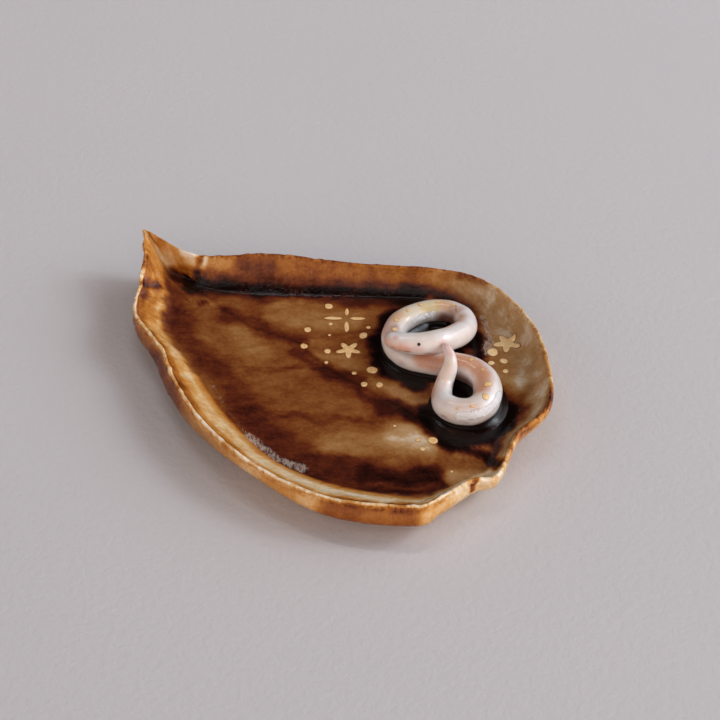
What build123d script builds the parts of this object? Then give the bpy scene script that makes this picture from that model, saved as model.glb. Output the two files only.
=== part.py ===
from build123d import *
import math
import os

os.makedirs("parts", exist_ok=True)

# Ring dish: a leaf pressed from a clay slab, with a snake rolled from clay
# lying on it in two loops, and gold lustre painted on both. Sizes are in mm.
# +X runs from the leaf's tip to its stem, +Y to the side of the snake's big
# loop, +Z is up, and the foot stands on Z = 0.

# Leaf dish
dish_length = 126.2
dish_width = 90.2
slab_thickness = 4.2
rim_height = 11.2
lip_thickness = 2.8
foot_draw_in = 2.0
vein_depth = 0.35
midrib_width = 1.4
midrib_end_width = 0.9
side_vein_width = 0.9
vein_end_width = 0.3
rim_split_width = 1.8
rim_split_depth = 1.6
overrun = 6.0

# Snake
snake_span = 44.0
roll_share = 0.1409
roll_press_share = 0.04
eye_diameter = 0.9
eye_rise = 0.12
fleck_diameter = 1.5
fleck_rise = 0.1

# Gold lustre on the dish
lustre_thickness = 0.15
dot_diameter = 2.0
star_reach = 3.4
star_core_width = 2.1
star_tip_width = 1.2
sparkle_reach = 5.0
sparkle_gap = 0.7
sparkle_belly_width = 1.0
sparkle_tip_width = 0.35

half_length = dish_length / 2
half_width = dish_width / 2
floor_height = slab_thickness
lip_radius = lip_thickness / 2
roll_diameter = roll_share * snake_span
roll_press = roll_press_share * roll_diameter

# The leaf seen from above, from its tip round the far side to the stem and
# back. Each row has a point of the rim, with its height as a share of the
# rim's, and the point of the floor's edge below it. Places are shares of the
# half length and half width.
leaf_shares = [
    ((-1.0, -0.10, 1.34), (-0.82, -0.105)),
    ((-0.975, -0.083, 1.31), (-0.81, -0.095)),
    ((-0.88, -0.053, 1.14), (-0.77, -0.08)),
    ((-0.785, -0.004, 1.03), (-0.70, -0.06)),
    ((-0.685, 0.10, 1.01), (-0.60, 0.0)),
    ((-0.535, 0.305, 1.05), (-0.455, 0.13)),
    ((-0.375, 0.47, 1.01), (-0.31, 0.31)),
    ((-0.16, 0.68, 0.98), (-0.115, 0.565)),
    ((0.06, 0.91, 0.98), (0.08, 0.79)),
    ((0.27, 1.00, 0.98), (0.27, 0.905)),
    ((0.54, 0.905, 0.98), (0.51, 0.82)),
    ((0.76, 0.685, 0.98), (0.67, 0.625)),
    ((0.92, 0.42, 0.97), (0.79, 0.40)),
    ((0.925, 0.15, 0.85), (0.835, 0.15)),
    ((1.0, -0.14, 0.76), (0.885, -0.09)),
    ((0.96, -0.28, 0.84), (0.875, -0.20)),
    ((0.94, -0.50, 0.93), (0.845, -0.37)),
    ((0.90, -0.645, 0.96), (0.79, -0.50)),
    ((0.62, -0.895, 0.965), (0.555, -0.71)),
    ((0.30, -1.0, 0.965), (0.30, -0.80)),
    ((-0.03, -0.925, 0.965), (-0.01, -0.735)),
    ((-0.27, -0.79, 0.965), (-0.225, -0.645)),
    ((-0.42, -0.665, 0.965), (-0.37, -0.565)),
    ((-0.60, -0.625, 0.965), (-0.52, -0.50)),
    ((-0.69, -0.555, 0.965), (-0.60, -0.425)),
    ((-0.79, -0.395, 0.97), (-0.69, -0.30)),
    ((-0.865, -0.275, 1.15), (-0.76, -0.19)),
    ((-0.975, -0.128, 1.31), (-0.81, -0.12)),
]

# Outer wall, a part of an ellipse that leaves the foot at this angle
foot_angle = 35
outer_wall_steps = 6
lip_steps = 8

# Inner wall: height above the floor, and how far out from the lip to the
# edge of the floor, as shares
inner_wall_shares = [(0.70, 0.18), (0.42, 0.40), (0.20, 0.62), (0.06, 0.83), (0.0, 1.0)]

# Veins pressed into the floor: from the wide end to the thin end, as shares of
# the half length and half width
midrib_shares = [
    ((0.86, -0.075), (0.62, -0.030)),
    ((0.62, -0.030), (0.38, -0.030)),
    ((-0.80, -0.105), (-0.62, -0.085)),
]
side_vein_shares = [
    ((0.055, -0.08), (-0.235, -0.44)),
    ((0.49, -0.09), (0.07, -0.54)),
    ((0.84, -0.07), (0.33, -0.68)),
    ((0.84, -0.04), (0.77, 0.19)),
]

# Crease up the lifted tip, between two places of the inner wall there: height
# above the floor, and how far out from the lip, as shares
tip_crease_shares = [(0.12, 0.74), (1.0, 0.0)]
rim_split_share = (0.96, -0.28)
rim_split_rim_share = 0.84

# The snake's centre on the dish, and its middle line from nose to tail: places
# as shares of its span, lift and thickness as shares of the roll's diameter
snake_place_share = (0.404, 0.40)
snake_shares = [
    (-0.287, -0.221, 1.22, 0.30),
    (-0.262, -0.216, 1.10, 0.58),
    (-0.216, -0.207, 1.05, 0.74),
    (-0.148, -0.168, 1.02, 0.82),
    (-0.089, -0.107, 0.98, 0.88),
    (-0.048, -0.014, 0.85, 0.94),
    (-0.039, 0.109, 0.58, 0.98),
    (-0.080, 0.243, 0.33, 0.97),
    (-0.180, 0.334, 0.14, 0.94),
    (-0.280, 0.350, 0.02, 0.91),
    (-0.359, 0.305, 0.0, 0.91),
    (-0.416, 0.216, 0.0, 0.92),
    (-0.436, 0.116, 0.0, 0.95),
    (-0.432, 0.014, 0.0, 0.97),
    (-0.384, -0.080, 0.0, 0.97),
    (-0.314, -0.156, 0.0, 0.96),
    (-0.225, -0.194, 0.0, 0.96),
    (-0.135, -0.190, 0.0, 0.97),
    (-0.053, -0.138, 0.0, 0.99),
    (0.045, -0.059, 0.0, 1.04),
    (0.143, 0.0, 0.0, 1.11),
    (0.252, 0.0, 0.0, 1.16),
    (0.357, -0.057, 0.0, 1.19),
    (0.425, -0.161, 0.0, 1.18),
    (0.425, -0.264, 0.0, 1.13),
    (0.364, -0.316, 0.0, 1.08),
    (0.273, -0.318, 0.0, 1.00),
    (0.191, -0.259, 0.02, 0.84),
    (0.143, -0.182, 0.27, 0.71),
    (0.125, -0.128, 0.76, 0.63),
    (0.103, -0.098, 1.12, 0.52),
    (0.067, -0.082, 1.36, 0.40),
    (0.038, -0.074, 1.46, 0.27),
    (0.022, -0.070, 1.49, 0.15),
]
steps_per_row = 2
heading_reach_rows = 0.125
head_rows = 6
head_broad_share = 1.10
roll_broad_share = 1.02

# On the snake's skin: place along its rows, turn round the roll from its top
# towards its left in degrees, and size as a share
eye_shares = [(3.5, -50, 1.0), (3.5, 50, 1.0)]
fleck_shares = [
    (7.2, 18, 0.90),
    (6.4, 14, 0.45),
    (10.0, 28, 0.75),
    (11.1, 18, 0.85),
    (12.1, 17, 0.80),
    (13.3, 18, 0.95),
    (14.6, 25, 1.00),
    (20.3, 0, 0.85),
    (21.2, -8, 0.60),
    (22.4, -8, 1.20),
    (23.2, 2, 1.15),
    (24.2, 12, 0.80),
    (24.9, 25, 0.65),
]

# Lustre on the dish: places as shares of the half length and half width, and
# sizes as shares of a dot, or of the reach of a star or sparkle
left_dot_shares = [
    (-0.208, 0.330, 1.10),
    (-0.124, 0.224, 0.60),
    (-0.078, 0.146, 0.40),
    (-0.013, 0.040, 0.90),
    (0.032, -0.038, 0.60),
    (-0.165, 0.098, 1.00),
    (-0.106, -0.020, 1.00),
    (0.027, 0.279, 1.25),
    (0.006, 0.350, 0.60),
    (0.197, 0.091, 1.35),
    (0.160, 0.004, 0.65),
    (0.233, -0.029, 0.95),
    (0.281, 0.027, 0.95),
]
front_dot_shares = [
    (0.647, -0.106, 1.25),
    (0.604, -0.155, 0.65),
    (0.648, -0.191, 0.70),
    (0.482, -0.162, 0.45),
    (0.810, -0.217, 0.35),
]
sparkle_place_share = (-0.098, 0.317)
sparkle_arm_shares = [(217, 1.18), (43, 0.99), (128, 0.84), (315, 1.02)]
left_star_place_share = (0.043, 0.131)
left_star_arm_shares = [(173, 0.91), (86, 0.82), (22, 0.91), (315, 0.88), (250, 1.02)]
right_star_place_share = (0.455, 0.768)
right_star_arm_shares = [(117, 1.06), (196, 0.97), (252, 0.97), (311, 1.12), (45, 0.97)]

# Dots under the right star: steps from its middle as shares of a star's reach
right_dot_shares = [
    (0.45, -1.34, 1.45),
    (1.17, -2.33, 0.80),
    (1.71, -1.54, 0.95),
    (2.52, -2.36, 0.70),
]


def place(share):
    return Vector(share[0] * half_length, share[1] * half_width)


def leaf_ring(inward, height):
    """Closed line round the leaf, with inward(run) from the rim and height(rim height)."""
    points = []
    for rim_share, floor_share in leaf_shares:
        run = place(floor_share) - place(rim_share)
        point = place(rim_share) + run.normalized() * inward(run.length)
        points.append(point + Vector(0, 0, height(rim_share[2] * rim_height)))
    return Wire([Edge.make_spline(points, periodic=True)])


def outer_rings():
    rings = []
    for step in range(outer_wall_steps):
        angle = math.radians(foot_angle + (90 - foot_angle) * step / outer_wall_steps)
        start = math.radians(foot_angle)
        inward_share = (1 - math.sin(angle)) / (1 - math.sin(start))
        height_share = (math.cos(start) - math.cos(angle)) / math.cos(start)
        rings.append(
            leaf_ring(
                lambda run: (run + foot_draw_in) * inward_share,
                lambda rim: (rim - lip_radius) * height_share,
            )
        )
    return rings


def lip_rings():
    rings = []
    for step in range(lip_steps + 1):
        angle = math.pi * step / lip_steps
        rings.append(
            leaf_ring(
                lambda run: lip_radius * (1 - math.cos(angle)),
                lambda rim: rim - lip_radius * (1 - math.sin(angle)),
            )
        )
    return rings


def inner_rings():
    rings = []
    for rise_share, out_share in inner_wall_shares:
        rings.append(
            leaf_ring(
                lambda run: lip_thickness + (run - lip_thickness) * out_share,
                lambda rim: floor_height + (rim - lip_radius - floor_height) * rise_share,
            )
        )
    return rings


def tip_wall_point(height_share, out_share):
    rim_share, floor_share = leaf_shares[0]
    run = place(floor_share) - place(rim_share)
    inward = lip_thickness + (run.length - lip_thickness) * out_share
    rise = rim_share[2] * rim_height - lip_radius - floor_height
    return place(rim_share) + run.normalized() * inward + Vector(0, 0, floor_height + rise * height_share)


def finger(start, start_width, end, end_width):
    """Flat shape that tapers from one round end to the other."""
    with BuildSketch(mode=Mode.PRIVATE) as shape:
        with Locations(start):
            Circle(start_width / 2)
        with Locations(end):
            Circle(end_width / 2)
        make_hull()
    return shape.sketch


# Leaf dish: one skin from the foot up the outer wall, over the lip and down
# to the floor, with the veins pressed in
dish_skin = Solid.make_loft([*outer_rings(), *lip_rings(), *inner_rings()], ruled=True)
crease_start, crease_end = [tip_wall_point(*shares) for shares in tip_crease_shares]
split_place = place(rim_split_share)
split_bottom = rim_height * rim_split_rim_share - rim_split_depth

with BuildPart() as leaf_dish:
    add(dish_skin)
    with BuildSketch(Plane.XY.offset(floor_height)):
        for wide_end, thin_end in midrib_shares:
            add(finger(place(wide_end), midrib_width, place(thin_end), midrib_end_width))
        for wide_end, thin_end in side_vein_shares:
            add(finger(place(wide_end), side_vein_width, place(thin_end), vein_end_width))
    extrude(amount=-vein_depth, mode=Mode.SUBTRACT)
    with BuildSketch(Plane(crease_start, z_dir=crease_end - crease_start)):
        Circle(midrib_width / 2)
    extrude(amount=(crease_end - crease_start).length, mode=Mode.SUBTRACT)
    with BuildSketch(Plane.YZ.offset(split_place.X - overrun)):
        with BuildLine():
            Polyline(
                (split_place.Y, split_bottom),
                (split_place.Y - rim_split_width, split_bottom + 2 * rim_split_depth),
                (split_place.Y + rim_split_width, split_bottom + 2 * rim_split_depth),
                close=True,
            )
        make_face()
    extrude(amount=2 * overrun, mode=Mode.SUBTRACT)
leaf_dish.part.label = "leaf_dish"

# Snake: its middle line and the roll's radius, both run over the same rows
snake_place = place(snake_place_share)
middle_points = []
roll_radii = []
for along, across, lift, thickness in snake_shares:
    radius = thickness * roll_diameter / 2
    height = floor_height + radius - roll_press + lift * roll_diameter
    middle_points.append(snake_place + Vector(along * snake_span, across * snake_span, height))
    roll_radii.append(radius)


def between_rows(values, row):
    """Value at a place between the rows, on a smooth curve that passes through each."""
    first = min(max(math.floor(row), 0), len(values) - 2)
    before, start = values[max(first - 1, 0)], values[first]
    end, after = values[first + 1], values[min(first + 2, len(values) - 1)]
    part = row - first
    bend = 2 * before - 5 * start + 4 * end - after
    twist = 3 * (start - end) + after - before
    return (2 * start + (end - before) * part + bend * part**2 + twist * part**3) / 2


def snake_frame(row):
    """Plane square to the snake, with its X to the snake's left and its Y towards its back."""
    nose_side = between_rows(middle_points, row - heading_reach_rows)
    ahead = between_rows(middle_points, row + heading_reach_rows) - nose_side
    return Plane(between_rows(middle_points, row), x_dir=Vector(0, 0, 1).cross(ahead), z_dir=ahead)


def snake_ring(row):
    radius = between_rows(roll_radii, row)
    head_share = max(1 - row / head_rows, 0)
    broad = roll_broad_share + (head_broad_share - roll_broad_share) * head_share
    with BuildSketch(snake_frame(row), mode=Mode.PRIVATE) as ring:
        Ellipse(radius * broad, radius)
    return ring.sketch


def skin_plane(row, turn):
    """Plane on the snake's skin, facing out, at a turn round the roll from its top."""
    frame = snake_frame(row)
    angle = math.radians(turn)
    outward = frame.x_dir * math.sin(angle) + frame.y_dir * math.cos(angle)
    return Plane(frame.origin + outward * between_rows(roll_radii, row), z_dir=outward)


ring_count = (len(snake_shares) - 1) * steps_per_row + 1
with BuildPart() as snake:
    loft(sections=[snake_ring(step / steps_per_row) for step in range(ring_count)], ruled=True)
    with BuildSketch():
        with Locations(snake_place):
            Rectangle(2 * snake_span, 2 * snake_span)
    extrude(amount=floor_height, mode=Mode.SUBTRACT)
snake.part.label = "snake"

# Eyes and lustre flecks, each a small disc that follows the skin under it
with BuildPart() as snake_eyes:
    for row, turn, size_share in eye_shares:
        with BuildSketch(skin_plane(row, turn).offset(eye_rise)):
            Circle(size_share * eye_diameter / 2)
    extrude(amount=-eye_diameter)
    add(snake.part, mode=Mode.SUBTRACT)
snake_eyes.part.label = "snake_eyes"

with BuildPart() as snake_gold_flecks:
    for row, turn, size_share in fleck_shares:
        with BuildSketch(skin_plane(row, turn).offset(fleck_rise)):
            Circle(size_share * fleck_diameter / 2)
    extrude(amount=-fleck_diameter / 2)
    add(snake.part, mode=Mode.SUBTRACT)
snake_gold_flecks.part.label = "snake_gold_flecks"


def toward(start, angle, distance):
    return start + Vector(math.cos(math.radians(angle)), math.sin(math.radians(angle))) * distance


def gold_star(place_share, arm_shares):
    """Five round-ended brush strokes that meet in the middle."""
    middle = place(place_share)
    with BuildPart() as star:
        with BuildSketch(Plane.XY.offset(floor_height)):
            for angle, reach_share in arm_shares:
                end = toward(middle, angle, reach_share * star_reach - star_tip_width / 2)
                add(finger(middle, star_core_width, end, star_tip_width))
        extrude(amount=lustre_thickness)
    return star.part


def gold_dots(middles, dot_shares):
    with BuildPart() as dots:
        with BuildSketch(Plane.XY.offset(floor_height)):
            for middle, shares in zip(middles, dot_shares):
                with Locations(middle):
                    Circle(shares[2] * dot_diameter / 2)
        extrude(amount=lustre_thickness)
    return dots.part


# Four-armed sparkle: each stroke swells in its middle and stays clear of the others
sparkle_middle = place(sparkle_place_share)
with BuildPart() as gold_sparkle:
    with BuildSketch(Plane.XY.offset(floor_height)):
        for angle, reach_share in sparkle_arm_shares:
            inner_end = toward(sparkle_middle, angle, sparkle_gap)
            outer_end = toward(sparkle_middle, angle, reach_share * sparkle_reach - sparkle_tip_width / 2)
            belly = (inner_end + outer_end) / 2
            add(finger(belly, sparkle_belly_width, inner_end, sparkle_tip_width))
            add(finger(belly, sparkle_belly_width, outer_end, sparkle_tip_width))
    extrude(amount=lustre_thickness)
gold_sparkle.part.label = "gold_sparkle"

gold_star_left = gold_star(left_star_place_share, left_star_arm_shares)
gold_star_left.label = "gold_star_left"
gold_star_right = gold_star(right_star_place_share, right_star_arm_shares)
gold_star_right.label = "gold_star_right"

left_dot_middles = [place(shares) for shares in left_dot_shares]
right_star_middle = place(right_star_place_share)
right_dot_steps = [Vector(shares[0], shares[1]) * star_reach for shares in right_dot_shares]
right_dot_middles = [right_star_middle + step for step in right_dot_steps]
front_dot_middles = [place(shares) for shares in front_dot_shares]
gold_dots_left = gold_dots(left_dot_middles, left_dot_shares)
gold_dots_left.label = "gold_dots_left"
gold_dots_right = gold_dots(right_dot_middles, right_dot_shares)
gold_dots_right.label = "gold_dots_right"
gold_dots_front = gold_dots(front_dot_middles, front_dot_shares)
gold_dots_front.label = "gold_dots_front"

export_step(leaf_dish.part, "parts/leaf_dish.step")
export_step(snake.part, "parts/snake.step")
export_step(snake_eyes.part, "parts/snake_eyes.step")
export_step(snake_gold_flecks.part, "parts/snake_gold_flecks.step")
export_step(gold_sparkle.part, "parts/gold_sparkle.step")
export_step(gold_star_left, "parts/gold_star_left.step")
export_step(gold_star_right, "parts/gold_star_right.step")
export_step(gold_dots_left, "parts/gold_dots_left.step")
export_step(gold_dots_right, "parts/gold_dots_right.step")
export_step(gold_dots_front, "parts/gold_dots_front.step")
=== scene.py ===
import math

import bmesh
import bpy
from mathutils import Matrix, Vector, noise
from mathutils.bvhtree import BVHTree


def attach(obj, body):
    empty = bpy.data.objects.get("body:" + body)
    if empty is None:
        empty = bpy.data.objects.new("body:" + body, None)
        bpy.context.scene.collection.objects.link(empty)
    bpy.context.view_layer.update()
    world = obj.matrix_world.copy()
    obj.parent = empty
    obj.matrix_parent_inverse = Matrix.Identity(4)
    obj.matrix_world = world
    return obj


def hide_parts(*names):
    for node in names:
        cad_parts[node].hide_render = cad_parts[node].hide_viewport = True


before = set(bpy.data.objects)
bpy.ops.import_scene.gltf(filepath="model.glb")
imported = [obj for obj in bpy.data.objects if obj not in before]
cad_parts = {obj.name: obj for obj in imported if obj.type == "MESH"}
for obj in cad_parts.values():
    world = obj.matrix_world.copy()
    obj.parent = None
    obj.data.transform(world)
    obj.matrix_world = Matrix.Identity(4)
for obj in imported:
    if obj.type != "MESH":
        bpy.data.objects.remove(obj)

# Vector noise starts from the clock unless it is given a seed
NOISE_SEED = 7
noise.seed_set(NOISE_SEED)

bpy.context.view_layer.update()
MM = 0.001
UP = Vector((0, 0, 1))
ALONG = Vector((0, 1, 0))

# Sizes of the dish and the snake, in mm
HALF_LENGTH = 63.05
HALF_WIDTH = 45.05
RIM_HEIGHT = 11.2
FLOOR = 4.2
FOOT_DRAW_IN = 2.0
FOOT_ANGLE = math.radians(35)
SNAKE_SPAN = 44.0
ROLL = 6.2
ROLL_PRESS = 0.25
MERGE_DISTANCE = 0.01 * MM

# The dish's points carry their place across it as "wall": from the foot's edge up the outer
# wall, over the lip and down the inner wall to the floor's edge and on to the middle
OUTER_RINGS = 13
LIP_RINGS = 12
INNER_RINGS = 20
FLOOR_RINGS = 40
FOOT_EDGE = -OUTER_RINGS
LIP_OUTSIDE = -1
LIP_INSIDE = 1
FLOOR_EDGE = 5
FLOOR_MIDDLE = 10

# Rim point with its height share, the floor's edge below it, how thick the lip is, how far
# the wall swells out and how hollow it is inside, from the tip round the far side and back
LEAF_ROWS = [
    (-1.0, -0.10, 1.305, -0.825, -0.118, 0.9, 0.0, 1.1),
    (-0.973, -0.082, 1.275, -0.848, -0.088, 0.9, 0.0, 1.1),
    (-0.88, -0.053, 1.14, -0.78, -0.055, 1.0, 0.0, 1.2),
    (-0.785, -0.004, 1.03, -0.70, -0.05, 1.3, 0.0, 1.5),
    (-0.685, 0.10, 1.01, -0.60, 0.0, 1.4, 0.0, 1.7),
    (-0.535, 0.305, 1.06, -0.455, 0.13, 1.3, 0.0, 1.8),
    (-0.375, 0.47, 1.02, -0.31, 0.31, 1.3, 0.0, 1.8),
    (-0.16, 0.68, 0.98, -0.115, 0.565, 1.3, 0.0, 1.8),
    (0.06, 0.91, 0.99, 0.08, 0.79, 1.3, 0.0, 1.8),
    (0.27, 1.00, 0.98, 0.27, 0.905, 1.3, 0.0, 1.8),
    (0.54, 0.905, 0.98, 0.51, 0.82, 1.3, 0.0, 2.0),
    (0.76, 0.685, 0.98, 0.66, 0.59, 1.3, 0.0, 2.2),
    (0.92, 0.42, 0.97, 0.77, 0.38, 1.3, 0.0, 2.2),
    (0.925, 0.15, 0.85, 0.82, 0.15, 1.5, 0.4, 2.0),
    (1.0, -0.14, 0.76, 0.885, -0.09, 1.4, 0.6, 1.6),
    (0.96, -0.28, 0.84, 0.875, -0.20, 1.4, 1.0, 1.3),
    (0.94, -0.50, 0.93, 0.845, -0.37, 1.2, 2.2, 1.05),
    (0.905, -0.655, 0.95, 0.79, -0.50, 1.1, 3.2, 1.05),
    (0.635, -0.91, 0.95, 0.55, -0.70, 1.0, 3.2, 1.05),
    (0.30, -1.0, 0.95, 0.29, -0.79, 1.0, 1.1, 1.05),
    (-0.03, -0.945, 0.95, -0.01, -0.73, 1.0, 2.6, 1.05),
    (-0.27, -0.82, 0.95, -0.22, -0.635, 1.0, 3.2, 1.05),
    (-0.43, -0.70, 0.95, -0.365, -0.555, 1.0, 3.2, 1.05),
    (-0.60, -0.635, 0.95, -0.515, -0.49, 1.0, 2.2, 1.05),
    (-0.70, -0.56, 0.95, -0.595, -0.415, 1.0, 1.8, 1.05),
    (-0.795, -0.41, 0.96, -0.685, -0.29, 1.0, 1.2, 1.1),
    (-0.865, -0.275, 1.15, -0.765, -0.185, 1.1, 0.5, 1.2),
    (-0.975, -0.13, 1.295, -0.80, -0.14, 0.9, 0.0, 1.1),
]
STEPS_PER_LEAF_ROW = 12

# Middle line of the snake from nose to tail: along, across, lift, thickness
SNAKE_PLACE = Vector((0.404 * HALF_LENGTH, 0.40 * HALF_WIDTH))
SNAKE_ROWS = [
    (-0.273, -0.218, 1.20, 0.28),
    (-0.252, -0.213, 1.10, 0.60),
    (-0.201, -0.202, 1.035, 0.77),
    (-0.139, -0.165, 1.005, 0.86),
    (-0.084, -0.108, 0.95, 0.92),
    (-0.045, -0.017, 0.84, 0.96),
    (-0.035, 0.100, 0.56, 0.99),
    (-0.065, 0.226, 0.30, 0.97),
    (-0.153, 0.316, 0.12, 0.94),
    (-0.241, 0.336, 0.02, 0.91),
    (-0.316, 0.301, 0.0, 0.91),
    (-0.380, 0.224, 0.0, 0.92),
    (-0.404, 0.133, 0.0, 0.95),
    (-0.409, 0.041, 0.0, 0.96),
    (-0.379, -0.038, 0.0, 0.96),
    (-0.333, -0.101, 0.0, 0.94),
    (-0.258, -0.141, 0.0, 0.94),
    (-0.166, -0.147, 0.0, 0.96),
    (-0.076, -0.112, 0.0, 0.99),
    (0.034, -0.046, 0.0, 1.04),
    (0.143, 0.0, 0.0, 1.11),
    (0.250, -0.002, 0.0, 1.15),
    (0.350, -0.058, 0.0, 1.17),
    (0.411, -0.157, 0.0, 1.15),
    (0.403, -0.251, 0.0, 1.10),
    (0.336, -0.303, 0.0, 1.04),
    (0.250, -0.306, 0.0, 0.96),
    (0.180, -0.250, 0.02, 0.82),
    (0.137, -0.178, 0.27, 0.70),
    (0.125, -0.128, 0.74, 0.62),
    (0.103, -0.098, 1.08, 0.52),
    (0.066, -0.077, 1.32, 0.40),
    (0.033, -0.064, 1.43, 0.26),
    (0.014, -0.056, 1.46, 0.12),
]
RINGS_PER_SNAKE_ROW = 8
RING_POINTS = 40


def between(before, start, end, after, part):
    """Smooth curve through start and end, as it runs between their neighbours."""
    bend = 2 * before - 5 * start + 4 * end - after
    twist = 3 * (start - end) + after - before
    return (2 * start + (end - before) * part + bend * part**2 + twist * part**3) / 2


def soft_step(value, low, high):
    """0 up to low and 1 from high on, with a smooth rise between them."""
    share = min(max((value - low) / (high - low), 0.0), 1.0)
    return share * share * (3 - 2 * share)


def leaf_row(turn):
    """The sizes of LEAF_ROWS at a place between its rows."""
    first = math.floor(turn)
    rows = [LEAF_ROWS[(first + step) % len(LEAF_ROWS)] for step in (-1, 0, 1, 2)]
    return [between(*values, turn - first) for values in zip(*rows)]


def leaf_point(turn, ring):
    """Place at a turn round the leaf, on a ring that gives its inward run off the rim and its height."""
    rim_x, rim_y, rise, floor_x, floor_y, lip, swell, hollow = leaf_row(turn)
    rim = Vector((rim_x * HALF_LENGTH, rim_y * HALF_WIDTH, 0))
    floor = Vector((floor_x * HALF_LENGTH, floor_y * HALF_WIDTH, 0))
    run = floor - rim
    inward, height = ring(run.length, rise * RIM_HEIGHT, lip, swell, hollow)
    place = rim + run.normalized() * inward
    place.z = height
    return place * MM


def finished(name, mesh_maker, stands_for=()):
    """A piece of the scene from what mesh_maker draws, standing for nodes of the frame."""
    bm = bmesh.new()
    mesh_maker(bm)
    mesh = bpy.data.meshes.new(name)
    bmesh.ops.remove_doubles(bm, verts=bm.verts, dist=MERGE_DISTANCE)
    bmesh.ops.recalc_face_normals(bm, faces=bm.faces)
    bm.to_mesh(mesh)
    bm.free()
    for face in mesh.polygons:
        face.use_smooth = True
    piece = bpy.data.objects.new(name, mesh)
    bpy.context.scene.collection.objects.link(piece)
    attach(piece, "root")
    if stands_for:
        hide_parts(*stands_for)
    return piece


def edges_between(points):
    """The edges that join the points to one another, in the points' own order."""
    ring = set(points)
    met = dict.fromkeys(edge for point in points for edge in point.link_edges)
    return [edge for edge in met if ring.issuperset(edge.verts)]


def new_ring(bm, edges, move):
    """Draws an open edge out into one more ring of faces, and returns its new edge."""
    made = bmesh.ops.extrude_edge_only(bm, edges=edges)["geom"]
    points = [part for part in made if isinstance(part, bmesh.types.BMVert)]
    for point in points:
        move(point)
    return edges_between(points)


# Leaf dish

# Where the glaze gathers on the floor: line, full width, reach, depth of colour
POOLS = [
    ([(-46, -2.4), (-37, 4.5), (-28, 11), (-17, 20.5), (-9, 27.5), (0, 33)], 1.2, 6.5, 0.56),
    ([(-52, -5), (-46, -2.4)], 0.2, 3.6, 0.30),
    ([(-20, 15), (-11, 21), (-2, 27), (4, 32)], 0.4, 4.5, 0.26),
    ([(1.5, 25), (2, 19.9), (5.8, 14)], 0.4, 3.2, 0.50),
    ([(5.8, 14), (10.9, 9.9), (17, 7.8), (23.5, 8.2)], 1.2, 4.2, 0.56),
    ([(8, 22), (11, 29), (18, 32), (24, 30)], 2.2, 5.0, 0.56),
    ([(13, 22), (20, 22)], 4.5, 7.5, 0.54),
    ([(6, 37), (13, 39.5), (20, 37)], 0.5, 3.0, 0.30),
    ([(20, 33), (25, 31), (28, 27), (31, 21)], 0.6, 2.6, 0.44),
    ([(34.5, 1.5), (38, -1.0), (44, -1), (48.5, 4), (49.5, 11), (46.5, 17)], 1.6, 5.0, 0.60),
    ([(50, 14), (54, 9), (57.5, 3)], 0.5, 7.0, 0.26),
    ([(33, 14), (38, 10), (42, 9)], 2.0, 6.0, 0.56),
    ([(42, 20), (48, 18.5), (53, 13), (55, 7)], 1.0, 5.5, 0.24),
    ([(38, -3), (46, -2.5), (53.2, -1.6), (60, -1.8)], 0.5, 2.4, 0.44),
    ([(49, 7.6), (54, 3.1), (58.5, -1)], 0.4, 2.4, 0.32),
    ([(24, -3.2), (27, -2), (31, -1.5), (37.5, -2)], 1.2, 4.5, 0.30),
    ([(-7, -4), (6, -3.7), (20.5, -2.4)], 1.0, 4.6, 0.20),
    ([(-31, -6), (-21.8, -5), (-16, -3), (-8.6, -0.3)], 0.8, 4.2, 0.18),
    ([(27, -7.4), (16, -17.8), (7, -24.6), (1.9, -26.9)], 0.2, 1.6, 0.12),
    ([(4.3, -2.6), (-3.4, -10.7), (-10.2, -17.5)], 0.2, 1.8, 0.10),
    ([(-47, -11), (-39, -16.5), (-29, -19.5), (-18, -22.8), (-10, -24.2), (-2, -27), (5.6, -29.6)],
     1.6, 6.0, 0.16),
    ([(5.6, -29.6), (14, -31.8), (23.4, -31.5), (30.4, -28.5), (39.8, -23.4), (49, -16)], 2.0, 7.0, 0.19),
    ([(37, -25), (44, -19.4), (49.5, -14)], 1.4, 4.8, 0.34),
    ([(12, -36.6), (25, -35.0), (34.7, -32), (45.7, -25), (51.7, -19.5), (53, -14.9)], 0.2, 1.6, 0.32),
    ([(-50, -10.8), (-44, -13)], 1.0, 4.5, 0.14),
    ([(-42.7, -8.2)], 0.2, 1.3, 0.20),
    ([(-37.9, -6.7)], 0.5, 2.0, 0.26),
    ([(-40.5, -12.4)], 0.2, 1.0, 0.16),
]
# Where it lies thin: line, full width, reach, how much paler
THIN = [
    ([(33.5, -9), (40, -5)], 1.0, 6.0, 0.26),
    ([(22, -22), (30, -17), (36, -12), (42, -7)], 1.5, 6.0, 0.14),
    ([(18, 0), (24, 3), (29, 3)], 1.0, 4.5, 0.20),
    ([(53, -11.5), (56.5, -8)], 0.8, 3.0, 0.20),
    ([(0, -1), (8, 3)], 1.0, 4.5, 0.12),
    ([(-22, 4), (-12, 9), (-6, 14)], 2.0, 6.0, 0.14),
    ([(-24, -7), (-14, -12)], 1.0, 5.5, 0.12),
    ([(-45, -9.5), (-36, -7)], 1.5, 5.0, 0.06),
    ([(10, -14), (20, -10)], 1.0, 5.0, 0.05),
    ([(18, 44), (28, 41), (36, 38), (43, 31)], 3.0, 8.0, 0.31),
    ([(43, 31), (50, 24), (58, 12)], 2.0, 7.0, 0.10),
    ([(50, -4), (52.5, 0.5)], 0.5, 2.5, 0.12),
    ([(27, 35), (31, 30), (36, 26), (42, 24)], 1.5, 5.0, 0.14),
]
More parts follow.
